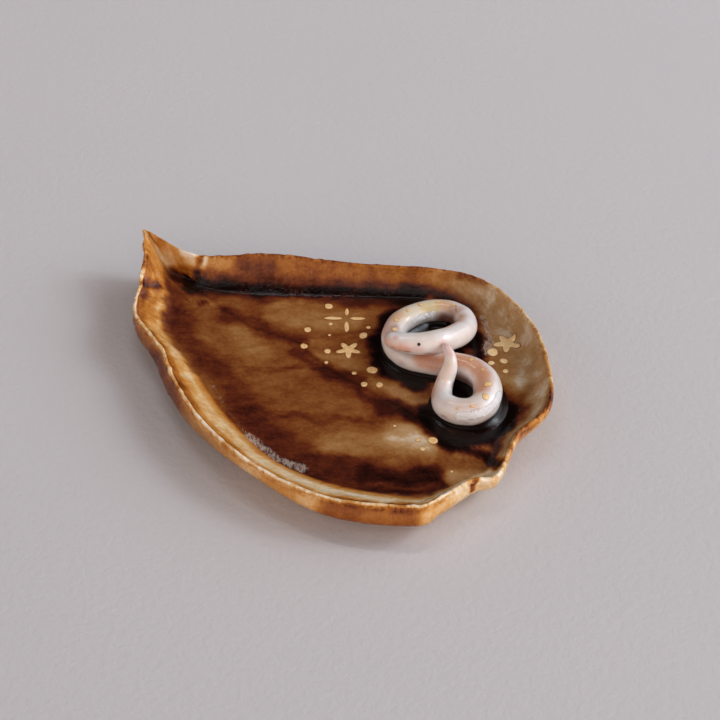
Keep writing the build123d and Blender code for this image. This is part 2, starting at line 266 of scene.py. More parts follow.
# Where pale crystals have grown in the glaze, with a painted sheen and painted reflection of the window on
# them: line, full width, reach, amount
CRYSTALS_AND_SHEEN = [
    ([(-12, -27.4), (-5, -30.6), (3, -33.4), (10, -34.7)], 0.0, 1.5, 0.75),
    ([(8, -34.4), (18, -35.2), (25, -33.6)], 0.3, 2.9, 1.05),
    ([(-46, -8.5), (-40, -9.5), (-34, -7.0)], 1.5, 5.5, 0.36),
    ([(-36, 1.0), (-26, 7.0)], 0.5, 3.5, 0.26),
    ([(19.5, 39.0), (23.2, 36.4), (26.6, 33.0), (28.4, 29.6)], 0.5, 2.6, 1.05),
    ([(27.5, 32.5), (31.0, 28.5), (34.0, 24.0)], 0.8, 3.0, 0.60),
    ([(40, 20), (46.5, 15.0)], 0.3, 2.4, 0.42),
    ([(-34, -21.5), (-24, -25.0), (-14, -27.5)], 0.3, 2.2, 0.34),
    ([(22, -33.5), (33, -30.4)], 0.3, 2.4, 0.34),
]
# Pressed veins: line, width
VEINS = [
    ([(60, -1.8), (53, -1.6), (39, -1.4), (24, -1.6), (4, -3.2), (-9, -1), (-22, -5), (-40, -4),
      (-51, -4.7)], 0.5),
    ([(3.5, -3.6), (-14.7, -19.8)], 0.4),
    ([(31, -4), (4.6, -24.3), (-2, -29)], 0.4),
    ([(53, -3), (21, -30.4)], 0.35),
    ([(53, -1.8), (48.6, 8.6)], 0.4),
    ([(-9, 0), (2, 16)], 0.3),
    ([(-26, -4), (-20, 8), (-14, 18)], 0.25),
]
# Where the floor's colour runs up the wall: line, full width, reach, how far up
DRAWN_UP = [
    ([(-53, -8), (-51, -13), (-44, -20), (-34, -24), (-24, -28)], 3.0, 8.0, 1.0),
    ([(-48, -2), (-38, 5), (-20, 20), (0, 34)], 3.0, 8.0, 0.5),
    ([(10, 42), (28, 42), (42, 32), (52, 18), (57, 4)], 6.0, 12.0, 1.9),
    ([(56, -3), (55, -12)], 2.0, 5.0, 0.6),
]
# Creases pressed into the wall: line, full width, reach, how deep
CREASES = [
    ([(-61.5, -3.8, 14.4), (-57.4, -4.1, 9.9), (-53.4, -4.8, 5.6)], 0.1, 1.0, 0.2),
    ([(-50.5, -18.0, 11.0), (-49.3, -14.8, 9.2), (-48.8, -11.5, 7.0)], 0.2, 1.6, 0.3),
    ([(-46.5, 0.6, 11.4), (-46.4, -1.0, 9.0), (-46.2, -2.0, 7.0)], 0.2, 1.6, 0.5),
    ([(60.5, -12.4, 9.6)], 0.3, 1.5, 1.1),
]


# No line has a longer run between two of its points than twice this
HALF_RUN = 30


def near(place, points, full, reach):
    """1 along a line through the points, out to full, falling to 0 at reach."""
    closest = min((Vector(point) - place).length for point in points)
    if closest > reach + HALF_RUN:
        return 0.0
    for start, end in zip(points, points[1:]):
        start, run = Vector(start), Vector(end) - Vector(start)
        share = min(max((place - start).dot(run) / run.length_squared, 0.0), 1.0)
        closest = min(closest, (place - start - run * share).length)
    return 1 - soft_step(closest, full, reach)


def strongest(place, strokes):
    """The most that any one of the strokes puts here."""
    return max(near(place, points, full, reach) * amount for points, full, reach, amount in strokes)


def total(place, strokes):
    """What all the strokes put here together."""
    return sum(near(place, points, full, reach) * amount for points, full, reach, amount in strokes)


def wander(place, scale, reach):
    """The same place pushed about, so that a painted edge isn't even."""
    return place + noise.noise_vector(place.to_3d() * scale).to_2d() * reach


def near_side(place):
    """1 along the near wall and 0 along the far one."""
    return 1 - soft_step(place.y + place.x * 0.12, -15.0, -9.0)


# Marks on the walls: line in the round, full width, reach, change of depth
WALL_MARKS = [
    ([(-61.5, -3.8, 14.4), (-57.4, -4.1, 9.9), (-53.4, -4.8, 5.6)], 0.1, 0.7, 0.26),
    ([(-57.5, -3.4, 12.2)], 0.6, 2.6, 0.16),
    ([(-53.6, -2.8, 12.6), (-52, -2.6, 9)], 0.4, 2.2, 0.10),
    ([(-50.8, -2.2, 11.8), (-49.0, -1.4, 11.8)], 0.5, 2.0, -0.34),
    ([(-56.1, -9.6, 13.5)], 0.1, 0.8, -0.3),
    ([(-54.7, -10.3, 13.0)], 0.3, 0.9, 0.45),
    ([(-51.7, -14.2, 11.5), (-51.4, -12.4, 9.5)], 0.4, 2.0, -0.30),
    ([(-53.5, -9.0, 10.0)], 1.0, 4.0, -0.06),
    ([(-53.5, -12.0, 11.0), (-49.0, -14.5, 8.6), (-44.5, -19.0, 9.0), (-40.0, -21.6, 8.6)], 1.2, 3.8, 0.20),
    ([(-50.5, -18.0, 11.0), (-49.3, -14.8, 9.2), (-48.8, -11.5, 7.0)], 0.2, 1.2, 0.24),
    ([(-53.0, -6.0, 5.0), (-50.5, -3.6, 5.8), (-47.0, -2.4, 6.6)], 0.8, 3.4, 0.32),
    ([(-46.5, 0.6, 11.4), (-46.4, -1.0, 9.0), (-46.2, -2.0, 7.0)], 0.2, 1.5, 0.30),
    ([(-45.0, 1.6, 11.2), (-44.8, 0.0, 8.6)], 0.2, 0.9, -0.30),
    ([(-47.0, -15.5, 6.0), (-45.0, -18.0, 6.4)], 0.5, 2.2, 0.12),
    ([(-43.6, 1.1, 10.8), (-40.0, 3.8, 10.4)], 0.8, 2.8, -0.24),
    ([(-36.0, 7.5, 10.0), (-31.0, 11.0, 9.5)], 1.0, 4.0, 0.12),
    # Painted shade on the outer wall's front left
    ([(-30.0, -36.0, 8.0), (-10.0, -40.0, 7.0), (10.0, -44.0, 6.0)], 3.0, 7.0, 0.10),
    ([(-2.0, 33.0, 5.6), (6.0, 38.0, 5.0), (16.0, 40.6, 4.8)], 0.4, 3.0, 0.24),
    ([(9.3, 41.6, 10.8), (15.0, 44.0, 10.8)], 0.4, 2.4, 0.26),
    ([(54.8, 23.2, 10.6), (56.5, 19.6, 10.5), (56.6, 15.0, 10.2)], 0.6, 2.8, 0.34),
    ([(58.5, 8.0, 9.4), (57.0, 12.0, 9.0)], 0.6, 3.4, 0.28),
    ([(52.0, -0.6, 5.0), (57.0, -1.8, 6.2), (59.2, -2.6, 7.0)], 0.8, 2.8, 0.66),
    ([(60.0, 1.6, 8.4), (60.8, -1.2, 8.2)], 0.4, 1.6, 0.18),
    ([(58.0, -9.0, 7.5), (60.4, -11.6, 9.0)], 0.3, 1.4, 0.30),
    ([(60.2, -12.8, 8.6), (60.6, -13.2, 6.4)], 0.2, 0.9, 0.50),
    ([(58.5, -15.0, 8.8), (57.5, -20.0, 9.6)], 0.6, 2.0, -0.16),
    ([(54.0, -12.0, 5.4), (53.0, -19.0, 5.8)], 0.5, 2.4, 0.30),
    ([(41.0, -40.0, 6.0), (47.0, -37.0, 6.5), (55.0, -31.0, 6.5)], 2.5, 5.6, 0.30),
    ([(24.0, -44.0, 7.0), (30.0, -43.5, 7.0)], 1.0, 4.0, 0.12),
    # Painted shade on the outer wall's lower left
    ([(-48.0, -24.0, 5.0), (-32.0, -31.5, 5.0), (-14.0, -38.5, 5.0)], 3.0, 8.0, 0.20),
    ([(-52.0, -14.5, 9.8), (-48.0, -19.0, 8.6)], 1.0, 3.0, 0.16),
]
# Depth of colour by the place across the dish: over the near wall, where the outer wall is set deeper than
# its cream glaze as painted shade, and the pale lip top is partly the glaze thinning at the edge and partly
# a painted highlight
NEAR_WALL = [(-13, 0.32), (-5, 0.27), (-1.6, 0.22), (-0.9, 0.30), (-0.4, 0.10), (0.5, 0.08), (1.05, 0.46),
             (1.5, 0.34), (2.2, 0.14), (3.3, 0.15), (4.1, 0.34), (4.7, 0.48), (4.95, 0.82), (5.2, 0.64)]
# and over the far wall's left and right parts
FAR_LEFT_WALL = [(-1.0, 0.46), (0.0, 0.60), (0.9, 0.50), (2.0, 0.52), (2.9, 0.70), (3.8, 0.98), (5.0, 1.04)]
FAR_RIGHT_WALL = [(-1.0, 0.26), (0.0, 0.30), (1.0, 0.16), (2.6, 0.14), (4.0, 0.18), (5.0, 0.26)]


def read_off(table, place):
    """Value of a table of places and values, smooth between them."""
    for (start, low), (end, high) in zip(table, table[1:]):
        if place < end:
            return low + (high - low) * soft_step(place, start, end)
    return table[-1][1]


def dish_profile():
    """Rings from the foot's edge up the outer wall, over the lip and down to the floor."""
    quarter = math.pi / 2

    def outer(share):
        angle = FOOT_ANGLE + (quarter - FOOT_ANGLE) * share
        inward = (1 - math.sin(angle)) / (1 - math.sin(FOOT_ANGLE))
        rise = (math.cos(FOOT_ANGLE) - math.cos(angle)) / math.cos(FOOT_ANGLE)
        swollen = math.sin(math.pi * min(rise * 1.15, 1.0)) ** 0.7
        return lambda run, rim, lip, swell, hollow: (
            (run + FOOT_DRAW_IN) * inward - swell * swollen, (rim - lip / 2) * rise)

    def over_lip(angle):
        return lambda run, rim, lip, swell, hollow: (
            lip / 2 * (1 - math.cos(angle)), rim - lip / 2 * (1 - math.sin(angle)))

    def inner(out):
        return lambda run, rim, lip, swell, hollow: (
            lip + (run - lip) * out,
            FLOOR + (rim - lip / 2 - FLOOR) * ((1 - out) ** hollow * 0.9 + (1 - out) * 0.1))

    wall_in = FLOOR_EDGE - LIP_INSIDE
    lip_across = LIP_INSIDE - LIP_OUTSIDE
    rings = [(FOOT_EDGE + step, outer(step / OUTER_RINGS)) for step in range(1, OUTER_RINGS)]
    for step in range(LIP_RINGS + 1):
        rings.append((LIP_OUTSIDE + lip_across * step / LIP_RINGS, over_lip(math.pi * step / LIP_RINGS)))
    for step in range(1, INNER_RINGS + 1):
        rings.append((LIP_INSIDE + wall_in * step / INNER_RINGS, inner(step / INNER_RINGS)))
    return rings


PLAIN_FLOOR = 0.48
AT_STEM = 0.16
FLOOR_CENTRE = Vector((4.0, -2.0, FLOOR))
BEND_FROM = 4.0
BEND_TO = 6.6
FOOT_SMOOTHINGS = 8
WAY_RADIUS = 55
VEIN_DEPTH = 0.03
LUMPS = [(0.16, 0.30), (0.55, 0.22), (1.1, 0.18)]


def glaze_dish(point, wall, depth_of, tan_of, groove, bloom):
    """How deep the glaze lies here, and how brown or amber it is."""
    place = point.co / MM
    spot = place.to_2d()
    share = point[wall]
    drawn_up = strongest(spot, DRAWN_UP)
    floor_depth = PLAIN_FLOOR
    if share > 1.5:
        ground = wander(wander(spot, 0.12, 2.2), 0.45, 1.0)
        floor_depth += strongest(ground, POOLS) - total(ground, THIN)
    point[groove] = max(near(spot, line, 0.0, width * 2) for line, width in VEINS) if share > 3 else 0.0

    nearer = near_side(place)
    near_depth = read_off(NEAR_WALL, share)
    right = soft_step(place.x + noise.noise(place * 0.08) * 8, -4.0, 18.0)
    far_depth = read_off(FAR_LEFT_WALL, share) * (1 - right) + read_off(FAR_RIGHT_WALL, share) * right
    # Painted shade: the outer wall's left part takes the browner ramp, standing for the shade it lies in
    shaded_left_outside = (1 - soft_step(share, -2.0, -1.0)) * (1 - soft_step(place.x, 0.0, 22.0))
    if share < -1.2:
        far_depth = near_depth = near_depth + shaded_left_outside * 0.02
    wall_depth = far_depth + (near_depth - far_depth) * nearer
    tip = soft_step(-place.x, 44.0, 48.0) * soft_step(place.y, -16.0, -13.0)
    tip_depth = 0.18 + 0.22 * soft_step(-place.y, 3.8, 7.0)
    wall_depth += (tip_depth - wall_depth) * tip * soft_step(share, -1.5, -0.8)
    at_stem = soft_step(place.x - place.y * 0.6, 55.0, 60.0) * soft_step(-place.y, -3.0, 0.0) * (1 - nearer)
    wall_depth += (AT_STEM - wall_depth) * at_stem
    wall_depth += total(place + noise.noise_vector(place * 0.5) * 0.5, WALL_MARKS)

    edge = share + noise.noise(place * 0.4) * (0.25 + drawn_up * 0.3)
    on_floor = soft_step(edge, 4.6 - drawn_up * 1.25, 5.1 - drawn_up * 0.5)
    wall_tan = (1 - nearer) * (0.15 + 0.85 * right) * (1 - tip) * soft_step(share, -0.4, 0.6)
    wall_tan += (shaded_left_outside - wall_tan) * shaded_left_outside - at_stem * wall_tan
    point[depth_of] = wall_depth + (floor_depth - wall_depth) * on_floor
    point[tan_of] = wall_tan + (1 - wall_tan) * on_floor
    # Pale crystals here, with painted sheen and painted reflection on them
    point[bloom] = min(total(spot, CRYSTALS_AND_SHEEN), 1.0) if share > 4.2 else 0.0


def tear(point, share, groove):
    """Presses creases and veins in, and makes the wall and its lip uneven."""
    place = point.co / MM
    pressed = groove * VEIN_DEPTH + total(place, CREASES)
    lumps = sum(noise.noise(place * scale) * height for scale, height in LUMPS)
    uneven = soft_step(share, -8, -1) * (1 - soft_step(share, 2.0, 4.5))
    point.co.z -= (pressed + (lumps + 0.12) * uneven) * MM
    wobble = uneven * near_side(place) * (1 - soft_step(-place.y, 38.0, 42.5))
    point.co += (noise.noise_vector(place * 0.38).to_2d() * 0.5 * wobble * MM).to_3d()


def shape_dish(bm):
    names = ("turn", "wall", "depth", "tan", "groove", "bloom")
    turn, wall, depth_of, tan_of, groove, bloom = [bm.verts.layers.float.new(name) for name in names]
    way = bm.verts.layers.float_vector.new("way")
    count = len(LEAF_ROWS) * STEPS_PER_LEAF_ROW
    made = bmesh.ops.create_circle(bm, segments=count, radius=1.0, cap_ends=True)["verts"]
    for step, point in enumerate(made):
        point[turn] = step / STEPS_PER_LEAF_ROW
        point[wall] = FOOT_EDGE
        point.co = leaf_point(point[turn], lambda run, *rest: (run + FOOT_DRAW_IN, 0.0))
    edges = [edge for edge in bm.edges if edge.is_boundary]
    for share, ring in dish_profile():
        def move(point, share=share, ring=ring):
            point[wall] = share
            point.co = leaf_point(point[turn], ring)

        edges = new_ring(bm, edges, move)
    middle = FLOOR_CENTRE * MM
    for step in range(1, FLOOR_RINGS):
        def draw_in(point, share=step / FLOOR_RINGS):
            edge_place = leaf_point(point[turn], lambda run, *rest: (run, FLOOR))
            point[wall] = FLOOR_EDGE + (FLOOR_MIDDLE - FLOOR_EDGE) * share
            point.co = middle + (edge_place - middle) * (1 - share)

        edges = new_ring(bm, edges, draw_in)
    bmesh.ops.contextual_create(bm, geom=edges)
    bend = [point for point in bm.verts if BEND_FROM < point[wall] < BEND_TO]
    for _ in range(FOOT_SMOOTHINGS):
        bmesh.ops.smooth_vert(bm, verts=bend, factor=0.5, use_axis_z=True)
    for point in bm.verts:
        angle = 2 * math.pi * point[turn] / len(LEAF_ROWS)
        point[way] = (WAY_RADIUS * math.cos(angle), WAY_RADIUS * math.sin(angle), point[wall])
        glaze_dish(point, wall, depth_of, tan_of, groove, bloom)
        tear(point, point[wall], point[groove])


# Snake
HEAD_ROWS = 5
ROW_STEP = 0.12


def snake_row(row):
    """Middle of the snake and its radius at a place between its rows."""
    first = min(max(math.floor(row), 0), len(SNAKE_ROWS) - 2)
    picked = [SNAKE_ROWS[min(max(first + step, 0), len(SNAKE_ROWS) - 1)] for step in (-1, 0, 1, 2)]
    along, across, lift, thick = [between(*values, row - first) for values in zip(*picked)]
    radius = thick * ROLL / 2
    height = FLOOR + radius - ROLL_PRESS + lift * ROLL
    middle = Vector((SNAKE_PLACE.x + along * SNAKE_SPAN, SNAKE_PLACE.y + across * SNAKE_SPAN, height))
    return middle, radius


def snake_frame(row):
    """Middle and radius there, and the ways to the snake's left, its back and ahead."""
    middle, radius = snake_row(row)
    ahead = (snake_row(row + ROW_STEP)[0] - snake_row(row - ROW_STEP)[0]).normalized()
    left = UP.cross(ahead).normalized()
    return middle, radius, left, ahead.cross(left).normalized(), ahead


def on_snake(row, degrees):
    """Point on the snake's skin, and which way is out of it; 90 degrees is its left side."""
    middle, radius, left, back, ahead = snake_frame(row)
    angle = math.radians(degrees)
    head = max(1 - row / HEAD_ROWS, 0)
    broad = 1.02 + 0.16 * head
    flat = 1.0 - 0.14 * head
    side = left * math.sin(angle) * broad + back * math.cos(angle) * flat
    return middle + side * radius, side.normalized()


# Colour on the snake: line by row and degrees round the body, full width, reach, amount
BLUSHES = [
    ([(18.0, -40), (18.5, -52), (19.1, -40)], 0.9, 3.4, 0.85),
    ([(19.4, -8), (20.6, -8), (21.6, -14), (22.6, -24)], 0.8, 3.6, 0.85),
    ([(1.2, -72), (1.7, -74), (2.2, -80), (2.8, -84)], 0.3, 1.8, 0.60),
    ([(13.0, -10), (13.8, -15), (14.6, -25)], 0.6, 3.0, 0.50),
    ([(8.1, 25), (9.0, 25), (9.8, 15)], 0.5, 2.8, 0.60),
    ([(6.6, 16), (7.4, 20)], 0.3, 1.8, 0.50),
    ([(26.6, 60), (27.4, 60), (28.4, 70)], 0.2, 1.4, 0.70),
    ([(4.4, 35), (5.4, 30), (6.2, 20)], 0.0, 0.9, 0.60),
    ([(25.4, 20), (24.0, 30)], 0.4, 2.0, 0.25),
]
PINKS = [
    ([(1.9, -22)], 0.15, 1.2, 0.90),
    ([(0.3, -10), (1.0, -40)], 0.3, 1.6, 0.45),
    ([(30.4, 0), (32.0, 0), (33.0, 0)], 0.3, 1.9, 0.60),
    ([(13.5, -50), (14.6, -55)], 0.6, 3.0, 0.20),
    ([(2.5, -60), (3.6, -80)], 0.3, 1.8, 0.40),
    ([(27.0, 0), (29.0, 0)], 0.5, 2.4, 0.25),
]
YELLOWS = [
    ([(10.5, 44), (10.9, 36)], 0.7, 2.4, 0.95),
    ([(9.8, 0), (11.0, 8), (12.2, 8), (13.2, 0)], 0.8, 3.2, 0.60),
    ([(28.0, 10), (29.5, 10)], 0.3, 1.8, 0.35),
]
# Brown stains, dark specks and lines, and painted shade inside the loops' holes and under the head
STAINS_AND_SHADE = [
    # Painted shade with some stain: a dark brown gradient inside the upper loop's hole
    ([(6.8, 104), (7.6, 100), (8.6, 96), (9.6, 104)], 0.9, 3.2, 0.90),
    # Painted shade inside the lower loop's hole
    ([(19.4, -104), (20.6, -100), (21.6, -100), (22.6, -110)], 0.7, 2.7, 0.85),
    ([(25.2, -88), (26.2, -86), (27.2, -84), (28.0, -80)], 0.1, 0.7, 0.70),
    # Painted shade under the head, in this stroke and the next
    ([(15.2, -22), (16.2, -26), (17.6, -34), (18.6, -40)], 0.4, 2.6, 0.36),
    ([(14.5, 12), (16.5, 18), (18.5, 16)], 0.6, 2.2, 0.40),
    ([(12.0, -70), (14.0, -76), (17.0, -84)], 0.2, 1.3, 0.30),
    ([(8.6, 10)], 0.05, 0.42, 0.9),
    ([(8.1, 34), (8.3, 28)], 0.05, 0.36, 0.8),
    ([(9.2, 26)], 0.05, 0.30, 0.8),
    ([(6.6, 14)], 0.0, 0.32, 0.7),
    ([(7.2, 40)], 0.0, 0.30, 0.7),
    ([(14.0, -60)], 0.0, 0.25, 0.6),
    ([(15.0, -50)], 0.0, 0.25, 0.6),
    ([(0.9, -92), (1.8, -95), (2.8, -98), (4.2, -104)], 0.0, 0.40, 0.80),
    ([(28.4, 95), (27.2, 95), (26.4, 90), (25.4, 92), (24.4, 100)], 0.0, 0.5, 0.75),
]
# Ragged white patches: crackled glaze with a painted reflection of the window on it
RAGGED_GLINTS = [
    ([(22.6, 64), (23.6, 66), (24.7, 70)], 0.3, 2.0, 0.95),
    ([(10.6, 70), (11.4, 74), (12.2, 70)], 0.4, 1.3, 0.9),
]
SNAKE_COLOURS = [
    ("blush", BLUSHES), ("pink", PINKS), ("yellow", YELLOWS), ("stain", STAINS_AND_SHADE), ("ragged", RAGGED_GLINTS),
]


def shape_snake(bm):
    angle_of = bm.verts.layers.float.new("turn")
    row_of = bm.verts.layers.float.new("row")
    painted = []
    for name, strokes in SNAKE_COLOURS:
        layer = bm.verts.layers.float.new(name)
        painted.append((layer, [([on_snake(*spot)[0] for spot in spots], full, reach, amount)
                                for spots, full, reach, amount in strokes]))
    made = bmesh.ops.create_circle(bm, segments=RING_POINTS, radius=1.0, cap_ends=True)["verts"]
    last = len(SNAKE_ROWS) - 1

    def lay(point, row):
        point[row_of] = row
        point.co = on_snake(row, point[angle_of])[0] * MM

    for step, point in enumerate(made):
        point[angle_of] = 360 * step / RING_POINTS
        lay(point, 0)
    edges = [edge for edge in bm.edges if edge.is_boundary]
    for step in range(1, last * RINGS_PER_SNAKE_ROW + 1):
        edges = new_ring(bm, edges, lambda point, row=step / RINGS_PER_SNAKE_ROW: lay(point, row))
    bmesh.ops.contextual_create(bm, geom=edges)
    for point in bm.verts:
        place = point.co / MM
        marked = place + noise.noise_vector(place * 0.7) * 0.35
        for layer, strokes in painted:
            point[layer] = min(total(marked, strokes), 1.0)
        out = on_snake(point[row_of], point[angle_of])[1]
        rough = noise.noise(place * 1.6) * 0.22 * point[bm.verts.layers.float["ragged"]]
        point.co += out * (noise.noise(place * 0.22) * 0.16 + rough) * MM


# The pooled glaze across, from the snake's middle out: how far out and how high, where it lies
# low and where it stands fuller, to the right of each loop
POOL_LOW = [(2.3, 0.9), (2.8, 0.5), (3.05, 0.26), (3.3, 0.13), (3.7, 0.04), (4.3, -0.04), (4.9, -0.30)]
POOL_FULL = [(2.3, 1.4), (2.95, 1.25), (3.35, 0.95), (3.75, 0.62), (4.15, 0.28), (4.6, 0.05), (5.1, -0.30)]
FULLER_WAY = Vector((0.99, 0.12, 0))
POOL_START = 8.3
POOL_RINGS = 120
POOL_RINGS_PER_ROW = 6
POOL_GLAZE = {"wall": 7.0, "tan": 1.0, "depth": 1.0, "groove": 0.0, "bloom": 0.0}
POOL_EDGE_DEPTH = 0.86
POOL_EDGE_POINTS = 2


def shape_pool(bm):
    """The glaze that has gathered round the snake, drawn up its sides where it lies on the floor."""
    outward = list(zip(POOL_LOW, POOL_FULL))
    section = [(-1, *step) for step in reversed(outward)] + [(1, *step) for step in outward]
    layers = {name: bm.verts.layers.float.new(name) for name in POOL_GLAZE}
    way = bm.verts.layers.float_vector.new("way")
    number = bm.verts.layers.int.new("number")
    made = bmesh.ops.create_circle(bm, segments=len(section), radius=1.0, cap_ends=True)["verts"]

    def lay(point, row):
        middle, radius, left, back, ahead = snake_frame(row)
        hand, low, full = section[point[number]]
        level = left.to_2d().to_3d().normalized()
        fuller = max((level * hand).dot(FULLER_WAY), 0.0) ** 3
        side, height = [start + (end - start) * fuller for start, end in zip(low, full)]
        drop = soft_step(row, 27.2, 28.4) + 1 - soft_step(row, 8.2, 9.6)
        place = middle + level * hand * side * radius / (ROLL / 2) * (1 - drop * 0.6)
        place.z = FLOOR + height * (1 - drop) - drop * 0.3
        place.z += noise.noise(place * 0.4) * 0.05
        point.co = place * MM
        point[way] = place

    for count, point in enumerate(made):
        point[number] = count
        for name, value in POOL_GLAZE.items():
            point[layers[name]] = value
        if min(count, len(section) - 1 - count) < POOL_EDGE_POINTS:
            point[layers["depth"]] = POOL_EDGE_DEPTH
        lay(point, POOL_START)
    edges = [edge for edge in bm.edges if edge.is_boundary]
    for step in range(1, POOL_RINGS + 1):
        row = POOL_START + step / POOL_RINGS_PER_ROW
        edges = new_ring(bm, edges, lambda point, row=row: lay(point, row))
    bmesh.ops.contextual_create(bm, geom=edges)


dish = finished("leaf_dish_glazed", shape_dish, ["leaf_dish"])
snake = finished("snake_glazed", shape_snake, ["snake"])
pool = finished("glaze_pool", shape_pool)


# Gold and black laid on. Each ring of a touch has its share of the outline, its share of the
# thickness and how much of the dark edge it shows.
DROP_HEIGHT = 2.5
SUNK = 0.06
DOME = ((0.97, 0.5, 1.0), (0.84, 0.85, 0.35), (0.5, 1.0, 0.0), (0.16, 1.0, 0.0))
POINTS_PER_ARM = 8


def skin_of(piece):
    """What a touch is dropped on: the faces of a finished piece."""
    faces = [list(face.vertices) for face in piece.data.polygons]
    return BVHTree.FromPolygons([point.co for point in piece.data.vertices], faces)


def lay_pad(bm, edge_of, skin, middle, out, ahead, outline, thick):
    """One touch of gold or black: its outline dropped on the skin, and drawn up to a low dome."""
    side = ahead.cross(out).normalized()
    ahead = out.cross(side).normalized()

    def drop(point, across, along, lift):
        start = middle + ahead * along + side * across + out * DROP_HEIGHT
        found, facing, index, distance = skin.ray_cast(start * MM, -out)
        point.co = found + facing * lift * MM if found else (start - out * DROP_HEIGHT) * MM

    made = bmesh.ops.create_circle(bm, segments=len(outline), radius=1.0, cap_ends=False)["verts"]
    number = bm.verts.layers.int["number"]
    for step, point in enumerate(made):
        point[number] = step
        point[edge_of] = 1.0
        drop(point, *outline[step], -SUNK)
    edges = edges_between(made)
    for share, lift, edge in DOME:
        def draw_in(point, share=share, lift=lift, edge=edge):
            point[edge_of] = edge
            across, along = outline[point[number]]
            drop(point, across * share, along * share, thick * lift)

        edges = new_ring(bm, edges, draw_in)
    bmesh.ops.contextual_create(bm, geom=edges)


def round_touch(across, along, turn=0.0, points=20, seed=0.0):
    """Outline of an uneven oval."""
    outline = []
    for step in range(points):
        angle = 2 * math.pi * step / points
        uneven = 1 + noise.noise(Vector((math.cos(angle), math.sin(angle), seed))) * 0.16
        spot = Vector((math.cos(angle) * across, math.sin(angle) * along)) * uneven
        outline.append(Matrix.Rotation(turn, 2) @ spot)
    return outline


def star_touch(reach, turn, waist, arms=5, seed=0.0):
    """Outline of a star with soft arms."""
    outline = []
    steps = arms * POINTS_PER_ARM
    for step in range(steps):
        angle = 2 * math.pi * step / steps
        toward_arm = (0.5 + 0.5 * math.cos(angle * arms)) ** 1.15
        uneven = 1 + noise.noise(Vector((math.cos(angle) * 1.5, math.sin(angle) * 1.5, seed))) * 0.14
        out = reach * (waist + (1 - waist) * toward_arm) * uneven
        outline.append((out * math.cos(angle + turn), out * math.sin(angle + turn)))
    return outline


def touches(name, stands_for, piece, places, thick):
    """A set of touches: middle, way out, way ahead and outline of each."""
    skin = skin_of(piece)

    def shape(bm):
        edge_of = bm.verts.layers.float.new("edge")
        bm.verts.layers.int.new("number")
        for middle, out, ahead, outline in places:
            lay_pad(bm, edge_of, skin, middle, out, ahead, outline, thick)

    return finished(name, shape, stands_for)


def laid_on_dish(x, y, outline):
    """A touch on the dish, dropped from above."""
    return Vector((x, y, FLOOR + DROP_HEIGHT)), UP, ALONG, outline


def laid_on_snake(row, degrees, outline):
    """A touch on the snake, dropped from the way its skin faces."""
    place, out = on_snake(row, degrees)
    return place, out, snake_frame(row)[4], outline


def stroke(start, end, width, seed):
    """One tapered brush stroke on the floor."""
    run = Vector(end) - Vector(start)
    middle = (Vector(start) + Vector(end)) / 2
    return laid_on_dish(*middle, round_touch(run.length / 2, width / 2, math.atan2(run.y, run.x), 24, seed))


# Places in mm: a dot has its place and reach
LEFT_DOTS = [
    (-12.9, 14.8, 1.15), (-10.3, 4.2, 1.02), (-6.5, -1.1, 1.0), (-7.6, 9.9, 0.58), (-4.7, 6.5, 0.42),
    (0.5, 15.6, 0.60), (1.8, 12.4, 1.2), (-0.7, 1.6, 0.95), (2.1, -1.8, 0.55), (12.6, 4.0, 1.42),
    (10.1, 0.1, 0.66), (14.8, -1.3, 0.92), (17.8, 1.2, 0.98),
]
RIGHT_DOTS = [(30.3, 30.1, 1.55), (32.8, 26.7, 0.85), (34.6, 29.4, 1.05), (37.5, 26.7, 0.78)]
FRONT_DOTS = [
    (30.7, -7.4, 0.42), (38.2, -7.2, 0.68), (40.9, -4.9, 1.3), (41.1, -8.8, 0.68), (51.4, -9.9, 0.36),
]
# A fleck has its row, its degrees round the body and its reach
FLECKS = [
    (13.6, 2, 0.75), (14.6, 10, 0.80), (12.3, 4, 0.60), (11.3, 2, 0.72), (10.2, 0, 0.70), (8.9, 8, 0.62),
    (7.4, 18, 0.50), (20.3, 0, 0.66), (21.3, -6, 0.55), (22.4, 0, 1.22), (23.2, 12, 1.10), (24.1, 24, 0.60),
    (24.8, 34, 0.48),
]
EYE_ROW = 3.55
EYE_DEGREES = 50

touches("sparkle_strokes", ["gold_sparkle"], dish, [
    stroke((-10.7, 10.4), (-6.7, 13.8), 1.25, 1.0),
    stroke((-5.6, 14.9), (-2.4, 17.7), 1.20, 2.0),
    stroke((-8.9, 17.5), (-6.9, 15.2), 1.10, 3.0),
    stroke((-5.3, 13.6), (-2.3, 10.3), 1.30, 4.0),
], 0.14)
touches("left_star", ["gold_star_left"], dish, [
    laid_on_dish(2.9, 5.6, star_touch(3.6, math.radians(24), 0.40, seed=1.0))], 0.16)
touches("right_star", ["gold_star_right"], dish, [
    laid_on_dish(30.8, 35.2, star_touch(4.0, math.radians(18), 0.46, seed=2.0))], 0.18)
for name, stands_for, dots in [
    ("left_dots", "gold_dots_left", LEFT_DOTS),
    ("right_dots", "gold_dots_right", RIGHT_DOTS),
    ("front_dots", "gold_dots_front", FRONT_DOTS),
]:
    touches(name, [stands_for], dish, [
        laid_on_dish(x, y, round_touch(reach * 1.05, reach * 0.95, x, seed=y))
        for x, y, reach in dots], 0.14)
touches("flecks", ["snake_gold_flecks"], snake, [
    laid_on_snake(row, degrees, round_touch(reach, reach * 0.75, row * 2, 18, row))
    for row, degrees, reach in FLECKS], 0.12)
touches("eyes", ["snake_eyes"], snake, [
    laid_on_snake(EYE_ROW, -EYE_DEGREES, round_touch(0.44, 0.42, 0.0, 18, 1.0)),
    laid_on_snake(EYE_ROW, EYE_DEGREES, round_touch(0.44, 0.42, 0.0, 18, 2.0))], 0.16)


